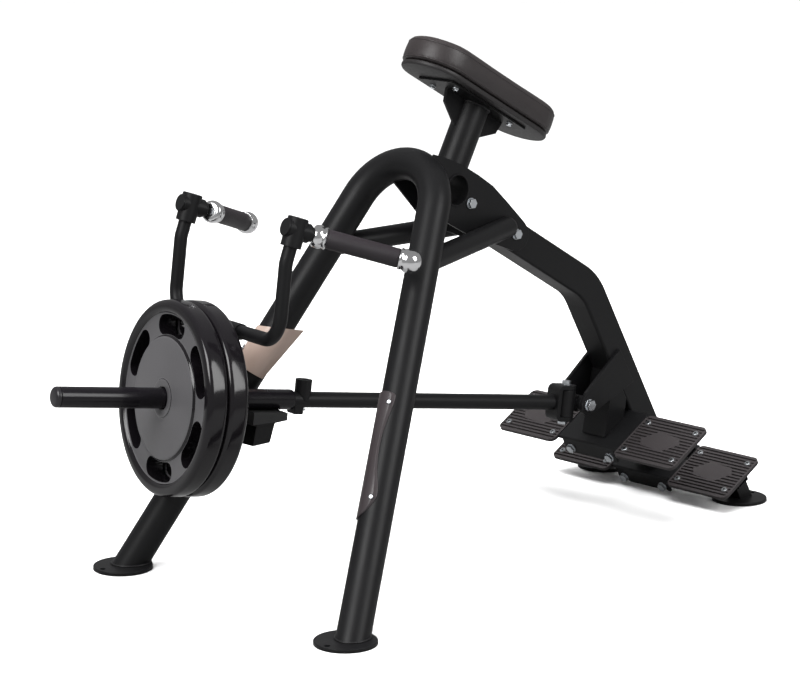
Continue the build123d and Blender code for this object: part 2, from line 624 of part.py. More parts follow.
def knuckle(sign):
    """The bright ball collar with the spindle the grip turns on."""
    ball = Sphere(BALL_R) & Pos(0, 0, -1) * Cylinder(BALL_R, 36)
    spindle = Cylinder(SPINDLE_R, 196, align=(Align.CENTER, Align.CENTER, Align.MIN))
    return ball + spindle


def ring_z(r_out, r_in, z0, z1):
    """A ring along the grip axis."""
    ring = Cylinder(r_out, z1 - z0, align=(Align.CENTER, Align.CENTER, Align.MIN))
    ring -= Cylinder(r_in, z1 - z0, align=(Align.CENTER, Align.CENTER, Align.MIN))
    return Pos(0, 0, z0) * ring


def end_dome():
    """The bright dome that keeps the grip on the spindle."""
    dome = Pos(0, 0, GRIP_REACH - 2) * Sphere(DOME_R)
    dome &= Pos(0, 0, GRIP_END + 5) * Cylinder(30, 80, align=(Align.CENTER, Align.CENTER, Align.MIN))
    dome += ring_z(24.5, 10, GRIP_END + 1, GRIP_END + 8)
    bore = Cylinder(SPINDLE_R + GAP, 12 + GAP, align=(Align.CENTER, Align.CENTER, Align.MIN))
    return dome - Pos(0, 0, GRIP_END) * bore


for sign, side in ((1, "right"), (-1, "left")):
    save("handle_tee_" + side, max(tee(sign).solids(), key=lambda s: s.volume))
    save("grip_knuckle_" + side, on_lever(grip_plane(sign) * knuckle(sign)))
    grip = ring_z(GRIP_R, SPINDLE_R + 0.05, GRIP_START, GRIP_END)
    grip = fillet(grip.edges().filter_by(GeomType.CIRCLE).sort_by(SortBy.LENGTH)[-2:], 1.5)
    save("hand_grip_" + side, on_lever(grip_plane(sign) * grip))
    save("grip_end_dome_" + side, on_lever(grip_plane(sign) * end_dome()))

# ---------------------------------------------------------------- lever rest on the left leg
rest_arm = slab_yz([(260, 300), (312, 300), (330, 348), (272, 348)], -262, -150)
rest_arm -= slab_yz([(265, 290), (307, 290), (326, 343), (278, 343)], -300, -154)
rest_arm += slab_yz([(266, 347), (352, 347), (358, 352), (262, 352)], -222, -140)
rest_arm -= arch_cutter
save("rest_arm", max(rest_arm.solids(), key=lambda s: s.volume))


def lever_box(s_range, h_range, w_range):
    """A box square to the lever, from (low, high) pairs."""
    low = Vector(*lever_point(s_range[1], h_range[0], w_range[0]))
    high = Vector(*lever_point(s_range[0], h_range[1], w_range[1]))
    size = high - low
    return Pos(*((low + high) * 0.5)) * Box(size.X, size.Y, size.Z)


SADDLE_S, SADDLE_CLEAR = (862, 952), 0.5
saddle_floor = lever_box(SADDLE_S, (-90, -SLEEVE_REAR_R - SADDLE_CLEAR), (-36, 44))
saddle_wall = lever_box(SADDLE_S, (-60, 14), (-36, -SLEEVE_REAR_R - SADDLE_CLEAR))
saddle = on_lever(saddle_floor + saddle_wall)
saddle -= Pos(0, 0, 352.1 - 500) * Box(2000, 2000, 1000)
saddle -= arch_cutter
save("rest_saddle", max(saddle.solids(), key=lambda s: s.volume))

# ---------------------------------------------------------------- leg guards
GUARD_IN, GUARD_T = 38.6, 3.0


def leg_frame(sign):
    """Plane on a leg axis at the floor: z up the leg, x away from the machine's middle."""
    foot_point = arch_plane.from_local_coords((sign * leg_x(0), 0, 0))
    high_point = arch_plane.from_local_coords((sign * tangent[0], tangent[1], 0))
    return Plane(origin=foot_point, x_dir=arch_plane.z_dir, z_dir=high_point - foot_point)


def guard_shell(low, high):
    """The full ring of sheet that a guard is cut from."""
    return ring_z(GUARD_IN + GUARD_T, GUARD_IN, low, high)


def outline_cutter(points, turn):
    """A prism through one half of the ring; points are (sideways, along the leg)."""
    face = make_face(Spline(*points, periodic=True))
    prism = extrude(Plane(origin=(0, 0, 0), x_dir=(0, 1, 0), z_dir=(1, 0, 0)) * face, 90)
    return Rot(0, 0, turn) * prism


RIGHT_TURN = -45.0
right_edge = [(38, 552), (37, 516), (33, 458), (33, 404), (38, 325), (35, 296), (24, 277)]
right_points = right_edge + [(-24, 277)] + [(-y, t) for y, t in right_edge[-2::-1]] + [(0, 562)]
right_guard = guard_shell(270, 565) & outline_cutter(right_points, RIGHT_TURN)
GUARD_SCREWS = {1: [(535, 18.0), (314, 18.0)], -1: [(577, -38.0)]}

LEFT_START, LEFT_END = -55.0, 95.0
left_mid, left_half = (LEFT_START + LEFT_END) / 2, math.radians((LEFT_END - LEFT_START) / 2)
left_low, left_top = 540.0, 660.0
wedge_reach = 150.0
wedge_points = [(0, 0)]
for share in (-1.0, -0.5, 0.0, 0.5, 1.0):
    angle = left_half * share
    wedge_points.append((wedge_reach * math.cos(angle), wedge_reach * math.sin(angle)))
wedge = extrude(Polygon(*wedge_points, align=None), 320)
left_guard = guard_shell(left_low, 720) & (Rot(0, 0, left_mid) * Pos(0, 0, left_low - 10) * wedge)
wing_outline = Polyline((0, left_low), (-8, left_low), (-44, 700), (0, 700), close=True)
wing_plane = Plane(origin=(0, GUARD_IN + GUARD_T, 0), x_dir=(1, 0, 0), z_dir=(0, -1, 0))
wing = wing_plane * extrude(make_face(wing_outline), GUARD_T)
left_guard += Rot(0, 0, LEFT_END - 90) * wing
top_plane = Plane(origin=(0, 0, left_top), z_dir=(0.345, -0.32, 1))
left_guard -= top_plane * Pos(0, 0, 100) * Box(400, 400, 200)

for sign, shell in ((1, right_guard), (-1, left_guard)):
    for t, angle in GUARD_SCREWS[sign]:
        shell -= Rot(0, 0, angle) * Pos(0, 0, t) * rod((30, 0, 0), (60, 0, 0), 3.2)
    solid = leg_frame(sign) * max(shell.solids(), key=lambda s: s.volume)
    save("leg_guard_right" if sign == 1 else "leg_guard_left", solid)


def guard_screw(sign, t, angle, head_r):
    """A screw holding a guard to its leg."""
    spot = Rot(0, 0, angle) * Pos(GUARD_IN + GUARD_T, 0, t) * Rot(0, 90, 0)
    return leg_frame(sign) * spot * Pos(0, 0, GAP + 0.4) * screw(3.0, 3.2, head_r, 3)


small_screws = [guard_screw(1, t, angle, 5) for t, angle in GUARD_SCREWS[1]]
large_screws = [guard_screw(-1, t, angle, 10) for t, angle in GUARD_SCREWS[-1]]
save("guard_screws", *small_screws, *large_screws)

# ---------------------------------------------------------------- weight plates


def weight_plate(front_s):
    """A cast plate: raised rim, raised centre and six kidney-shaped hand slots."""
    half = DISC_T / 2
    profile = [
        (DISC_BORE_R, -half), (DISC_R - 4, -half), (DISC_R, 4 - half), (DISC_R, half - 4),
        (DISC_R - 4, half), (196, half), (190, half - 9), (146, half - 9),
        (140, half - 2), (48, half - 2), (44, half), (DISC_BORE_R, half),
    ]
    face = make_face(Polyline(*[(r, z) for r, z in profile], close=True))
    disc = revolve(Plane.XZ * face, Axis.Z)
    for angle in SLOT_ANGLES:
        arc = CenterArc((0, 0), SLOT_R, angle - SLOT_HALF_DEG, 2 * SLOT_HALF_DEG)
        disc -= Pos(0, 0, -60) * extrude(SlotArc(arc, SLOT_WIDTH), 120)
    at = lever_point(front_s - DISC_T / 2, 0)
    return on_lever(Plane(origin=at, x_dir=(1, 0, 0), z_dir=(0, -1, 0)) * disc)


inner_front = DISC_FRONT_S - DISC_T - 0.7
save("weight_plate_outer", weight_plate(DISC_FRONT_S))
save("weight_plate_inner", weight_plate(inner_front))
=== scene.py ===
import bmesh
import bpy
import json
import math
from mathutils import Matrix, Vector
from mathutils.bvhtree import BVHTree


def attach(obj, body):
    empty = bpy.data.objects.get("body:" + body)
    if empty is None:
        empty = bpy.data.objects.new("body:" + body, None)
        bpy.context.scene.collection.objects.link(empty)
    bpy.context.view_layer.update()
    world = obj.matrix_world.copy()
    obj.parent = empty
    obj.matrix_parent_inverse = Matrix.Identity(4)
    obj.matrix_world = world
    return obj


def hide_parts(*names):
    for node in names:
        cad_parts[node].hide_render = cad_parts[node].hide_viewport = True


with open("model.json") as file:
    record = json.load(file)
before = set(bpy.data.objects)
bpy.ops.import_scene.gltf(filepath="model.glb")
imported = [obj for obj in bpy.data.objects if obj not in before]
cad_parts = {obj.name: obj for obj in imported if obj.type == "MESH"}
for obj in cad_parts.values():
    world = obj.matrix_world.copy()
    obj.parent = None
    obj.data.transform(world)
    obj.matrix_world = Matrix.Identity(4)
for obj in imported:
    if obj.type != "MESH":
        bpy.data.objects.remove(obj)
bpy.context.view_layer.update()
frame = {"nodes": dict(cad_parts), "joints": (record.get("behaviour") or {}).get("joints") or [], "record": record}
nodes = frame["nodes"]
joints = {joint["name"]: joint for joint in frame["joints"]}
scene = bpy.context.scene

MM = 0.001
X_AXIS = Vector((1, 0, 0))
SIDES = ((1, "right"), (-1, "left"))


# ------------------------------------------------------------------ materials
MIX_A, MIX_B, MIX_COLOUR = 6, 7, 2


def new_node(tree, kind, **inputs):
    """A shader node, with the inputs that are the same everywhere set on its own sockets."""
    node = tree.nodes.new("ShaderNode" + kind)
    for socket, value in inputs.items():
        node.inputs[socket.replace("_", " ")].default_value = value
    return node


def node_of(tree, kind):
    """The first node of a kind in a material."""
    return [node for node in tree.nodes if node.type == kind][0]


def shader(name, colour, rough, metal=0.0, coat=0.0, spec=0.5, grain=400.0, bump=0.05,
           tint=0.12, bevel=0.0012, rough_var=0.08):
    """A principled material with noise in colour, roughness and surface, and softened edges."""
    mat = bpy.data.materials.new(name)
    mat.use_nodes = True
    tree = mat.node_tree
    tree.nodes.clear()
    link = tree.links.new
    out = new_node(tree, "OutputMaterial")
    bsdf = new_node(tree, "BsdfPrincipled", Metallic=metal, Coat_Weight=coat, Coat_Roughness=0.06,
                    Specular_IOR_Level=spec)
    link(bsdf.outputs[0], out.inputs[0])
    coords = new_node(tree, "TexCoord")
    broad = new_node(tree, "TexNoise", Scale=9.0, Detail=5.0)
    link(coords.outputs["Object"], broad.inputs["Vector"])
    mix = new_node(tree, "Mix")
    mix.data_type = "RGBA"
    mix.inputs[MIX_A].default_value = [c * (1 - tint) for c in colour] + [1]
    mix.inputs[MIX_B].default_value = [min(1.0, c * (1 + tint)) for c in colour] + [1]
    link(broad.outputs["Fac"], mix.inputs["Factor"])
    link(mix.outputs[MIX_COLOUR], bsdf.inputs["Base Color"])
    spread = new_node(tree, "MapRange", To_Min=max(0.02, rough - rough_var), To_Max=rough + rough_var)
    link(broad.outputs["Fac"], spread.inputs["Value"])
    link(spread.outputs[0], bsdf.inputs["Roughness"])
    fine = new_node(tree, "TexNoise", Scale=grain, Detail=3.0)
    link(coords.outputs["Object"], fine.inputs["Vector"])
    relief = new_node(tree, "Bump", Strength=bump, Distance=0.001)
    link(fine.outputs["Fac"], relief.inputs["Height"])
    if bevel > 0:
        soft = new_node(tree, "Bevel", Radius=bevel)
        soft.samples = 4
        link(soft.outputs[0], relief.inputs["Normal"])
    link(relief.outputs[0], bsdf.inputs["Normal"])
    return mat


def leather(name, colour, rough):
    """Upholstery vinyl: fine cell grain over the soft noise."""
    mat = shader(name, colour, rough, grain=260, bump=0.1, tint=0.08, bevel=0.0)
    tree = mat.node_tree
    link = tree.links.new
    soft = node_of(tree, "BUMP")
    cells = new_node(tree, "TexVoronoi", Scale=620.0)
    link(node_of(tree, "TEX_COORD").outputs["Object"], cells.inputs["Vector"])
    relief = new_node(tree, "Bump", Strength=0.22, Distance=0.0006)
    link(cells.outputs["Distance"], relief.inputs["Height"])
    link(soft.outputs[0], relief.inputs["Normal"])
    link(relief.outputs[0], node_of(tree, "BSDF_PRINCIPLED").inputs["Normal"])
    return mat


LOOKS = {
    "frame_black": shader("powder_black", (0.0065, 0.0065, 0.0070), 0.42, spec=0.20,
                          grain=900, bump=0.10, bevel=0.0016),
    "gloss_black": shader("gloss_black", (0.0060, 0.0052, 0.0068), 0.24, coat=0.1, spec=0.25,
                          grain=60, bump=0.02, bevel=0.002),
    "cushion_vinyl": leather("cushion_vinyl", (0.022, 0.018, 0.0185), 0.44),
    "board_vinyl": leather("board_vinyl", (0.012, 0.0105, 0.011), 0.5),
    "tread_plastic": shader("tread_plastic", (0.027, 0.0235, 0.0245), 0.55, spec=0.4,
                            grain=700, bump=0.15),
    "zinc_steel": shader("zinc_steel", (0.68, 0.71, 0.74), 0.28, metal=1.0,
                         grain=500, bump=0.08, bevel=0.0008),
    "grip_rubber": shader("grip_rubber", (0.014, 0.011, 0.0135), 0.52, spec=0.4,
                          grain=1500, bump=0.35, bevel=0.001),
    "polished_aluminium": shader("polished_aluminium", (0.80, 0.80, 0.81), 0.13, metal=1.0,
                                 grain=80, bump=0.02, tint=0.04, rough_var=0.03, bevel=0.0006),
    "plate_iron": shader("plate_enamel", (0.006, 0.0052, 0.0064), 0.14, coat=0.2, spec=0.3,
                         grain=45, bump=0.05, rough_var=0.05, bevel=0.0),
    "guard_tan": shader("guard_tan", (0.43, 0.325, 0.275), 0.36, coat=0.2, grain=600, bump=0.05),
    "guard_brown": shader("guard_brown", (0.034, 0.028, 0.030), 0.36, grain=600, bump=0.08, bevel=0.001),
    "cap_plastic": shader("cap_plastic", (0.012, 0.011, 0.013), 0.30, grain=300, bump=0.05, bevel=0.002),
    "saddle_rubber": shader("saddle_rubber", (0.013, 0.013, 0.0135), 0.55, grain=700, bump=0.2, bevel=0.002),
    "bushing_plastic": shader("bushing_plastic", (0.03, 0.03, 0.031), 0.4, grain=400, bump=0.05),
}
PLATE_FACE = shader("plate_face", (0.080, 0.078, 0.082), 0.42, coat=0.10, grain=200, bump=0.06, bevel=0.0)
# painted shade: a dark colour laid on the tread screw heads where the shade inside their hex sockets would be
SOCKET_SHADE = shader("socket_painted_shade", (0.02, 0.02, 0.021), 0.5, metal=0.6, grain=300, bump=0.1, bevel=0.0)
WELD = shader("weld_bead", (0.0105, 0.0105, 0.011), 0.38, spec=0.35, grain=500, bump=0.2, bevel=0.0)
FLOOR = shader("floor_pale", (0.93, 0.93, 0.93), 0.75, spec=0.2, grain=30, bump=0.0, tint=0.01, bevel=0.0)

slot_of = {part["node"]: part["material_slot"] for part in frame["record"]["subparts"]}
for name, obj in nodes.items():
    look = LOOKS[slot_of[name]]
    if not obj.data.materials:
        obj.data.materials.append(look)
    for i in range(len(obj.data.materials)):
        obj.data.materials[i] = look


# ------------------------------------------------------------------ outlines, in millimetres
def polar(radius, angle):
    """A point at a radius and an angle in degrees."""
    a = math.radians(angle)
    return radius * math.cos(a), radius * math.sin(a)


def arc_points(cx, cy, radius, start, end, steps):
    """Points on an arc about (cx, cy), angles in degrees."""
    out = []
    for i in range(steps + 1):
        x, y = polar(radius, start + (end - start) * i / steps)
        out.append((cx + x, cy + y))
    return out


def flowing(points, steps=5):
    """A smooth curve through the points, as a Catmull-Rom spline."""
    out = []
    last = len(points) - 1
    for i in range(last):
        a, b, c, d = (Vector(points[k]) for k in (max(0, i - 1), i, i + 1, min(last, i + 2)))
        for k in range(steps):
            t = k / steps
            bend = (2 * a - 5 * b + 4 * c - d) * t ** 2 + (3 * b - a - 3 * c + d) * t ** 3
            out.append(tuple((2 * b + (c - a) * t + bend) / 2))
    out.append(points[-1])
    return out


# ------------------------------------------------------------------ geometry helpers
def basis(origin, z_dir, x_dir):
    """A matrix from coordinates about an origin, with z along one direction and x toward another."""
    z = Vector(z_dir).normalized()
    x = Vector(x_dir)
    x = (x - z * x.dot(z)).normalized()
    rot = Matrix((x, z.cross(x), z)).transposed().to_4x4()
    return Matrix.Translation(origin) @ rot


def spot(place, x, y, z):
    """A point in the machine, from a place's own coordinates in millimetres."""
    return place @ Vector((x * MM, y * MM, z * MM))


def link_object(name, mesh, mat):
    """A new object in the scene with one material."""
    obj = bpy.data.objects.new(name, mesh)
    scene.collection.objects.link(obj)
    mesh.shade_smooth()
    mesh.materials.clear()
    mesh.materials.append(mat)
    return obj


def clean(mesh, merge=0.0):
    """Turns faces outward, after merging vertices closer than a distance in metres."""
    work = bmesh.new()
    work.from_mesh(mesh)
    if merge > 0:
        bmesh.ops.remove_doubles(work, verts=work.verts, dist=merge)
        bmesh.ops.dissolve_degenerate(work, edges=work.edges, dist=merge)
    bmesh.ops.recalc_face_normals(work, faces=work.faces)
    work.to_mesh(mesh)
    work.free()


def make(name, verts, faces, mat, sharp=35.0):
    """A mesh object, smooth apart from the edges above an angle in degrees."""
    mesh = bpy.data.meshes.new(name)
    mesh.from_pydata([tuple(v) for v in verts], [], faces)
    mesh.update()
    clean(mesh)
    obj = link_object(name, mesh, mat)
    mesh.set_sharp_from_angle(angle=math.radians(sharp))
    return obj


def skin_rings(count, rings, closed):
    """Faces between rings of vertices that follow each other in the list."""
    faces = []
    for k in range(rings if closed else rings - 1):
        this, after = k * count, (k + 1) % rings * count
        for i in range(count):
            j = (i + 1) % count
            faces.append((this + i, after + i, after + j, this + j))
    return faces


def lathe(name, profile, place, mat, segments=96, sharp=35.0):
    """Turns a closed (radius, height) profile about a place's z axis."""
    verts = []
    for i in range(segments):
        a = 2 * math.pi * i / segments
        verts += [spot(place, r * math.cos(a), r * math.sin(a), z) for r, z in profile]
    obj = make(name, verts, skin_rings(len(profile), segments, True), mat, sharp)
    clean(obj.data, merge=1e-6)
    return obj


def add_prism(verts, faces, place, outline, low, high):
    """Adds a straight prism between two heights to a mesh's lists."""
    first, count = len(verts), len(outline)
    verts += [spot(place, x, y, z) for z in (low, high) for x, y in outline]
    faces.append(tuple(first + i for i in range(count - 1, -1, -1)))
    faces.append(tuple(first + count + i for i in range(count)))
    for i in range(count):
        j = (i + 1) % count
        faces.append((first + i, first + j, first + count + j, first + count + i))


def bake(obj):
    """Applies an object's modifiers."""
    graph = bpy.context.evaluated_depsgraph_get()
    graph.update()
    mesh = bpy.data.meshes.new_from_object(obj.evaluated_get(graph))
    obj.modifiers.clear()
    obj.data = mesh


def bead(name, points, radius, mat):
    """A thin round bead along a closed path, used for welds and seams."""
    curve = bpy.data.curves.new(name, "CURVE")
    curve.dimensions = "3D"
    curve.bevel_depth = radius
    curve.bevel_resolution = 2
    line = curve.splines.new("POLY")
    line.points.add(len(points) - 1)
    for target, point in zip(line.points, points):
        target.co = (*point, 1)
    line.use_cyclic_u = True
    holder = bpy.data.objects.new(name + "_c", curve)
    scene.collection.objects.link(holder)
    graph = bpy.context.evaluated_depsgraph_get()
    mesh = bpy.data.meshes.new_from_object(holder.evaluated_get(graph))
    bpy.data.objects.remove(holder)
    return link_object(name, mesh, mat)


def fit(obj, body, node=None):
    """Fixes a piece to its body, and hides the CAD node that it stands for."""
    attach(obj, body)
    if node:
        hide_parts(node)


# ------------------------------------------------------------------ the lever's own directions
AHEAD = Vector(joints["inner_plate_slide"]["axis"]).normalized()
UP = Vector(joints["lever_yaw"]["axis"]).normalized()
SIDE = UP.cross(AHEAD)
YAW_PIN = Vector(joints["lever_yaw"]["pos_m"])
YAW_PIN_AHEAD = 40.0


def on_lever(ahead):
    """A place on the lever's centre line, millimetres ahead of the pitch pin, with z ahead."""
    return basis(YAW_PIN + AHEAD * (ahead - YAW_PIN_AHEAD) * MM, AHEAD, SIDE)


# ------------------------------------------------------------------ weight plates
PLATE_R, RIM_ROUND = 225.0, 13.0
PLATE_THICK, PLATE_GAP = 51.4, 0.7
FRONT_FACE = 1171.5
SLOT_IN, SLOT_OUT, SLOT_HALF_ANGLE = 145.6, 191.4, 13.5
SLOT_ANGLES = (90, 30, -30, -90, -150, 150)
SLOT_STEPS = 12
CUT_REACH = 50.0
EDGE_ROUND, EDGE_ANGLE = 0.004, math.radians(50)
FACE_IN, FACE_OUT, FACE_LOWEST = 28.0, 200.5, 12.0
FACE_TILT = 0.85


def plate_profile():
    """Half a plate's section: back, round rim, stepped web, raised centre and hub."""
    t = PLATE_THICK / 2
    centre = PLATE_R - RIM_ROUND
    back = [(25.4, 1 - t)] + [(r, -t) for r in (26.4, 188, 192, 196)]
    rim = arc_points(centre, RIM_ROUND - t, RIM_ROUND, -90, 0, 8)
    rim += arc_points(centre, t - RIM_ROUND, RIM_ROUND, 0, 78, 8)
    lip = [(204, 0.2), (199, 1.2), (196.5, 3.5), (195, 7), (192, 8.6), (188, 9.2)]
    raised = [(149, 9.2), (145, 8.4), (142.5, 6), (140.5, 3.2), (136, 2.0)]
    hub = [(48, 2.0), (45, 1.4), (43.6, 0.2), (41, 0.0), (28, 0.0), (25.4, 1.6)]
    return back + rim + [(r, t - depth) for r, depth in lip + raised + hub]


def slot_outline(angle):
    """A kidney-shaped hand slot with round ends, about the plate's centre."""
    low, high = angle - SLOT_HALF_ANGLE, angle + SLOT_HALF_ANGLE
    middle, end_r = (SLOT_OUT + SLOT_IN) / 2, (SLOT_OUT - SLOT_IN) / 2
    outline = arc_points(0, 0, SLOT_OUT, low, high, SLOT_STEPS)
    outline += arc_points(*polar(middle, high), end_r, high, high + 180, SLOT_STEPS)[1:-1]
    outline += arc_points(0, 0, SLOT_IN, high, low, SLOT_STEPS)
    outline += arc_points(*polar(middle, low), end_r, low + 180, low + 360, SLOT_STEPS)[1:-1]
    return outline


def cut_slots(disc, place):
    """Cuts the hand slots through a plate and rounds the sharp edges."""
    cutters = []
    for angle in SLOT_ANGLES:
        verts, faces = [], []
        add_prism(verts, faces, place, slot_outline(angle), -CUT_REACH, CUT_REACH)
        cutters.append(make("cutter", verts, faces, LOOKS["plate_iron"]))
        cut = disc.modifiers.new("slot", "BOOLEAN")
        cut.object = cutters[-1]
        cut.solver = "EXACT"
        cut.operation = "DIFFERENCE"
    bake(disc)
    for cutter in cutters:
        bpy.data.objects.remove(cutter)
    soften = disc.modifiers.new("edge", "BEVEL")
    soften.width = EDGE_ROUND
    soften.segments = 3
    soften.limit_method = "ANGLE"
    soften.angle_limit = EDGE_ANGLE
    bake(disc)
    disc.data.shade_smooth()
    disc.data.set_sharp_from_angle(angle=EDGE_ANGLE)


def paint_face(disc, place):
    """Gives the flat front of a plate its own, duller paint."""
    disc.data.materials.clear()
    disc.data.materials.append(LOOKS["plate_iron"])
    disc.data.materials.append(PLATE_FACE)
    back = place.inverted()
    for face in disc.data.polygons:
        centre = back @ face.center / MM
        flat = (back.to_3x3() @ face.normal).z > FACE_TILT and centre.z > FACE_LOWEST
        face.material_index = 1 if flat and FACE_IN < centre.xy.length < FACE_OUT else 0


def weight_plate(name, front, body, node):
    """A cast plate on the sleeve, with its front face a distance ahead of the pitch pin."""
    place = on_lever(front - PLATE_THICK / 2)
    disc = lathe(name, plate_profile(), place, LOOKS["plate_iron"], 144, 30)
    cut_slots(disc, place)
    paint_face(disc, place)
    fit(disc, body, node)


weight_plate("plate_front", FRONT_FACE, "outer_plate", "weight_plate_outer")
weight_plate("plate_back", FRONT_FACE - PLATE_THICK - PLATE_GAP, "inner_plate", "weight_plate_inner")


# ------------------------------------------------------------------ chest cushion
PAD_ORIGIN = Vector((0, 0.830, 1.058))
PAD_SLOPE = math.radians(28.5)
PAD_UP = Vector((0, math.sin(PAD_SLOPE), math.cos(PAD_SLOPE)))
PAD_SHIFT = -3.0
PAD_PLACE = basis(PAD_ORIGIN, PAD_UP, X_AXIS) @ Matrix.Translation((0, PAD_SHIFT * MM, 0))

# half width, half length and corner radius
CUSHION_SIZE = (90.0, 234.0, 88.0)
BOARD_SIZE = (86.0, 230.0, 84.0)
# how far each level lies inside that size, and its height
CUSHION_LEVELS = ((6, 13.8), (2.2, 15.6), (1, 22), (0.6, 34), (0.8, 50), (1.8, 61), (4.4, 69), (9.5, 73.8),
                  (19, 75.8))
BOARD_LEVELS = ((7, 0.5), (3, 1.2), (1, 3.4), (0.4, 6.5), (1, 10.5), (4, 12.8))
SEAMS = (("top", 1.5, 62.0), ("low", -1.0, 18.5))
SEAM_R, SEAM_SINK = 0.0016, 0.0003
GRID_STEP = 0.0055
PUFF_FRAMES, PUFF_LIMIT, HELD_BELOW = 20, 0.0025, 0.020
INWARD_KEPT = 0.1


def pad_outline(size, inset, steps=14):
    """A rounded rectangle, counter-clockwise in pad coordinates."""
    half_u, half_v, corner = (value - inset for value in size)
    out = []
    for u, v, start in ((1, 1, 0), (-1, 1, 90), (-1, -1, 180), (1, -1, 270)):
        out += arc_points(u * (half_u - corner), v * (half_v - corner), corner, start, start + 90, steps)
    return out


def stack(name, size, levels, mat):
    """A closed solid through a pile of rounded rectangles."""
    verts = []
    for inset, height in levels:
        verts += [spot(PAD_PLACE, u, v, height) for u, v in pad_outline(size, inset)]
    count = len(verts) // len(levels)
    faces = skin_rings(count, len(levels), False)
    faces.append(tuple(range(count - 1, -1, -1)))
    faces.append(tuple(range(len(verts) - count, len(verts))))
    return make(name, verts, faces, mat)


def puff(obj):
    """Blows a closed shell outward with cloth pressure, by no more than the limit."""
    cloth = obj.modifiers.new("cloth", "CLOTH")
    cloth.settings.quality = 6
    cloth.settings.mass = 0.3
    cloth.settings.tension_stiffness = 40
    cloth.settings.compression_stiffness = 40
    cloth.settings.shear_stiffness = 20
    cloth.settings.bending_stiffness = 4
    cloth.settings.use_pressure = True
    cloth.settings.uniform_pressure_force = 4.0
    cloth.settings.effector_weights.gravity = 0
    cloth.collision_settings.use_collision = False
    back = PAD_PLACE.inverted()
    held = obj.vertex_groups.new(name="held")
    held.add([v.index for v in obj.data.vertices if (back @ v.co).z < HELD_BELOW], 1.0, "REPLACE")
    cloth.settings.vertex_group_mass = "held"
    cloth.point_cache.frame_start = 1
    cloth.point_cache.frame_end = PUFF_FRAMES
    before = [(v.co.copy(), v.normal.copy()) for v in obj.data.vertices]
    for f in range(1, PUFF_FRAMES + 1):
        scene.frame_set(f)
    bake(obj)
    for v, (old, outward) in zip(obj.data.vertices, before):
        move = v.co - old
        if move.dot(outward) < 0:
            move = move * INWARD_KEPT
        v.co = old + move * min(1.0, PUFF_LIMIT / max(move.length, 1e-9))
    scene.frame_set(1)


cushion = stack("cushion", CUSHION_SIZE, CUSHION_LEVELS, LOOKS["cushion_vinyl"])
grid = cushion.modifiers.new("grid", "REMESH")
grid.mode = "VOXEL"
grid.voxel_size = GRID_STEP
bake(cushion)
puff(cushion)
smooth = cushion.modifiers.new("calm", "CORRECTIVE_SMOOTH")
smooth.iterations = 6
smooth.use_only_smooth = True
fine = cushion.modifiers.new("fine", "SUBSURF")
fine.levels = 1
fine.render_levels = 1
bake(cushion)
cushion.data.shade_smooth()
cushion.data.materials.clear()
cushion.data.materials.append(LOOKS["cushion_vinyl"])
fit(cushion, "frame", "chest_cushion")

skin = BVHTree.FromObject(cushion, bpy.context.evaluated_depsgraph_get())
for tag, inset, height in SEAMS:
    path = []
    for u, v in pad_outline(CUSHION_SIZE, inset, 24):
        point, normal = skin.find_nearest(spot(PAD_PLACE, u, v, height))[:2]
        path.append(point - normal * SEAM_SINK)
    fit(bead("cushion_seam_" + tag, path, SEAM_R, LOOKS["cushion_vinyl"]), "frame")

board = stack("pad_board", BOARD_SIZE, BOARD_LEVELS, LOOKS["board_vinyl"])
fit(board, "frame", "pad_back_board")

# ------------------------------------------------------------------ handles
KNUCKLE = [(8.7, -15.0)]
KNUCKLE += flowing([(19.0, -15.6), (24.6, -12.6), (26.9, -5.5), (26.8, 1.0), (25.2, 6.2), (23.2, 9.2)])
KNUCKLE += flowing([(23.2, 9.4), (23.9, 11.2), (24.8, 13.6), (24.6, 16.2), (23.0, 17.9)])
KNUCKLE += [(8.7, 18.1)]
SPINDLE = [(0.01, -14), (8.7, -14), (8.7, 194), (0.01, 194)]
GRIP = [(9.2, 19.3), (20.6, 19.3), (21.7, 20.1), (22.0, 21.6), (22.0, 60), (21.9, 100), (22.0, 150),
        (22.0, 181.6), (21.7, 183.0), (20.8, 183.8), (9.2, 183.8)]
DOME = [(9.2, 184.5)]
DOME += flowing([(22.6, 184.6), (24.6, 186.0), (25.0, 188.6), (24.2, 191.2), (23.6, 192.8)])
DOME += flowing([(23.7, 193.0), (24.9, 195.8), (26.8, 200.5), (27.3, 207.0), (26.4, 214.6), (23.6, 221.8),
                 (18.6, 228.0), (12.0, 232.4), (5.0, 234.6), (0.01, 235.0)])
DOME += [(0.01, 197), (9.2, 197)]
ARM_UP = joints["right_handle_swivel"]["axis"]

for _, side in SIDES:
    spin = joints[side + "_grip_spin"]
    place = basis(spin["pos_m"], spin["axis"], ARM_UP)
    bright = LOOKS["polished_aluminium"]
    knuckle = lathe("knuckle_" + side, KNUCKLE, place, bright, 72, 28)
    fit(knuckle, side + "_handle", "grip_knuckle_" + side)
    spindle = lathe("spindle_" + side, SPINDLE, place, LOOKS["zinc_steel"], 32)
    fit(spindle, side + "_handle")
    grip = lathe("grip_sleeve_" + side, GRIP, place, LOOKS["grip_rubber"], 72, 40)
    fit(grip, side + "_grip", "hand_grip_" + side)
    dome = lathe("grip_dome_" + side, DOME, place, bright, 72, 26)
    fit(dome, side + "_grip", "grip_end_dome_" + side)

# ------------------------------------------------------------------ loading sleeve and its end cap
BARREL = [(19.4, 831.2), (22.3, 831.2), (23.6, 832.4), (24.1, 835), (24.1, 1430), (20.4, 1430.4),
          (20.4, 903), (19.4, 902)]
CAP = [(0.01, 1404), (19.9, 1404), (19.9, 1431.0), (23.4, 1431.0), (24.0, 1431.8), (24.0, 1434)]
CAP += arc_points(15.5, 1434.0, 8.5, 6, 84, 8)
CAP += [(8, 1442.8), (0.01, 1442.9)]

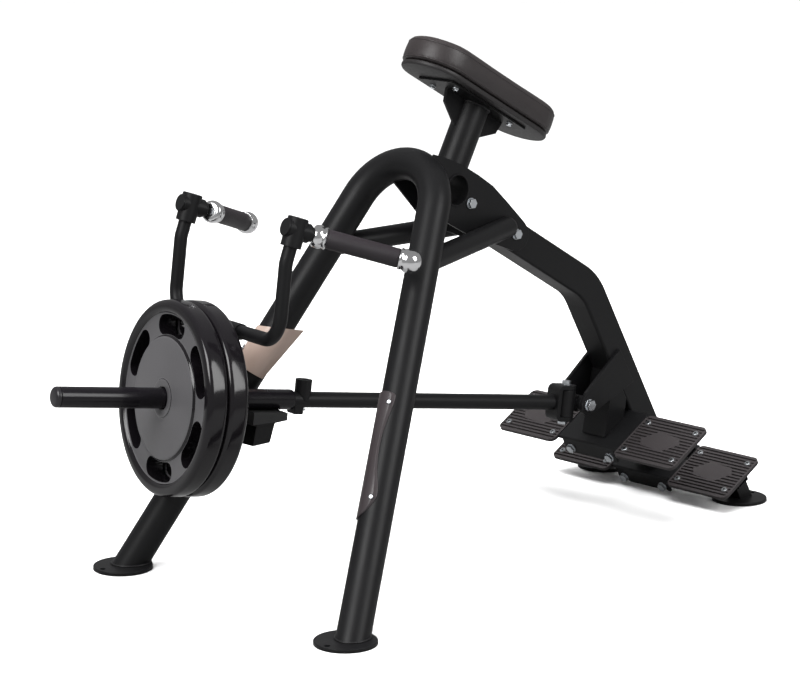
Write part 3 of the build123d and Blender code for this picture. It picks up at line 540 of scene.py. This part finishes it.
barrel = lathe("sleeve_skin", BARREL, on_lever(0), LOOKS["gloss_black"], 96, 40)
fit(barrel, "lever", "loading_sleeve")
cap = lathe("sleeve_cap", CAP, on_lever(0), LOOKS["cap_plastic"], 72, 40)
fit(cap, "lever", "sleeve_end_cap")

# ------------------------------------------------------------------ painted shade: thin dark hexagons on the tread screws, in place of their shaded sockets
TREAD_SLOPE = math.radians(30)
TREAD_ORIGINS = ((0, 1.290, 0.194), (0, 1.496, 0.080))
SCREW_X, SCREW_V = (-276, -122, 122, 276), (-51.5, 51.5)
SOCKET_R, SOCKET_LOW, SOCKET_HIGH = 3.3, 3.9, 4.16
SOCKET_TURN = 17

verts, faces = [], []
for origin in TREAD_ORIGINS:
    tread = basis(origin, (0, -math.sin(TREAD_SLOPE), math.cos(TREAD_SLOPE)), X_AXIS)
    for x in SCREW_X:
        for v in SCREW_V:
            turn = SOCKET_TURN + x
            hexagon = arc_points(x, v, SOCKET_R, turn, turn + 300, 5)
            add_prism(verts, faces, tread, hexagon, SOCKET_LOW, SOCKET_HIGH)
# the dark hexagons are painted shade, flat sheets on the screw heads instead of recessed sockets
fit(make("tread_screw_socket_shade", verts, faces, SOCKET_SHADE), "frame")

# ------------------------------------------------------------------ weld beads
WELD_R, WELD_STEPS = 0.0024, 120
RIPPLE, RIPPLES = 0.0006, 46
TUBE_WELD_R = 0.0385
FOOT_WELD_HEIGHT, POST_WELD_DEPTH = 0.0095, 0.0062
# the arch: half width and height along its slope where the bend starts, lean and spread of the legs
BEND_HALF, BEND_RISE = 0.1247, 0.98856
ARCH_FOOT_Y = 0.0747
ARCH_LEAN, LEG_SPREAD = math.radians(30.24), math.radians(14.8)


def weld_ring(name, origin, axis, normal, level):
    """A rippled bead where a round tube meets a flat face at a level along the face's normal."""
    place = basis(origin, axis, (1, 0, 0.01))
    along = Vector(axis).normalized()
    face = Vector(normal).normalized()
    path = []
    for i in range(WELD_STEPS):
        a = 2 * math.pi * i / WELD_STEPS
        r = TUBE_WELD_R + RIPPLE * math.sin(a * RIPPLES)
        point = place @ Vector((r * math.cos(a), r * math.sin(a), 0))
        path.append(point + along * ((level - point.dot(face)) / along.dot(face)))
    fit(bead(name, path, WELD_R, WELD), "frame")


for sign, side in SIDES:
    low = Vector((sign * (BEND_HALF + BEND_RISE * math.tan(LEG_SPREAD)), ARCH_FOOT_Y, 0))
    bend_y = ARCH_FOOT_Y + BEND_RISE * math.sin(ARCH_LEAN)
    high = Vector((sign * BEND_HALF, bend_y, BEND_RISE * math.cos(ARCH_LEAN)))
    weld_ring("foot_weld_" + side, low, high - low, (0, 0, 1), FOOT_WELD_HEIGHT)
weld_ring("post_weld", PAD_ORIGIN, PAD_UP, PAD_UP, PAD_ORIGIN.dot(PAD_UP) - POST_WELD_DEPTH)


# ------------------------------------------------------------------ stage and light
def by_camera(tree, seen, rest, out):
    """Sends one shader to the camera's own rays and another to all the rest."""
    ray = new_node(tree, "LightPath")
    mix = new_node(tree, "MixShader")
    tree.links.new(ray.outputs["Is Camera Ray"], mix.inputs[0])
    tree.links.new(rest.outputs[0], mix.inputs[1])
    tree.links.new(seen.outputs[0], mix.inputs[2])
    tree.links.new(mix.outputs[0], out.inputs[0])


bpy.ops.mesh.primitive_plane_add(size=160, location=(0, 0.7, -0.0005))
floor = bpy.context.object
floor.name = "floor"
floor.data.materials.append(FLOOR)
tree = FLOOR.node_tree
bounce = new_node(tree, "BsdfDiffuse", Color=(0.22, 0.22, 0.22, 1))
by_camera(tree, node_of(tree, "BSDF_PRINCIPLED"), bounce, node_of(tree, "OUTPUT_MATERIAL"))

world = bpy.data.worlds.new("studio")
scene.world = world
world.use_nodes = True
sky = world.node_tree
sky.nodes.clear()
white = new_node(sky, "Background", Color=(1, 1, 1, 1), Strength=1.0)
dim = new_node(sky, "Background", Color=(1, 1, 1, 1), Strength=0.30)
by_camera(sky, white, dim, new_node(sky, "OutputWorld"))


def light(name, kind, power):
    """A light of a kind, with its data and its object."""
    data = bpy.data.lights.new(name, kind)
    data.energy = power
    obj = bpy.data.objects.new(name, data)
    scene.collection.objects.link(obj)
    return data, obj


def softbox(name, at, target, size, power, mirrored=True):
    """A rectangular studio light, seen in shiny surfaces or not."""
    data, obj = light(name, "AREA", power)
    data.shape = "RECTANGLE"
    data.size, data.size_y = size
    obj.location = at
    obj.rotation_euler = (Vector(target) - Vector(at)).to_track_quat("-Z", "Y").to_euler()
    obj.visible_glossy = mirrored


softbox("key", (0.5, -4.2, 4.2), (0, 0.6, 0.5), (3.0, 3.0), 260)
softbox("side", (4.6, 1.6, 3.2), (0, 0.6, 0.6), (2.4, 3.0), 150)
softbox("top", (-0.5, 1.0, 5.2), (0, 0.7, 0.4), (4.5, 4.5), 300, mirrored=False)
softbox("back", (-3.5, 3.2, 2.8), (0, 0.8, 0.7), (2.5, 2.5), 120, mirrored=False)
sun_data, sun = light("overhead", "SUN", 2.6)
sun_data.angle = math.radians(70)
sun.rotation_euler = (math.radians(8), math.radians(-10), 0)
sun.visible_glossy = False

# ------------------------------------------------------------------ camera
TARGET = Vector((0.0, 0.58687, 0.52959))
AZIMUTH, ELEVATION, DISTANCE = 0.80602, 0.21155, 6.371875
LENS = 122.882

forward = Vector((-math.sin(AZIMUTH) * math.cos(ELEVATION), math.cos(AZIMUTH) * math.cos(ELEVATION),
                  -math.sin(ELEVATION)))
camera_data = bpy.data.cameras.new("camera")
camera_data.sensor_width = 36.0
camera_data.lens = LENS
camera = bpy.data.objects.new("camera", camera_data)
scene.collection.objects.link(camera)
camera.location = TARGET - forward * DISTANCE
camera.rotation_euler = forward.to_track_quat("-Z", "Y").to_euler()
scene.camera = camera
scene.view_settings.view_transform = "Standard"
scene.view_settings.look = "None"
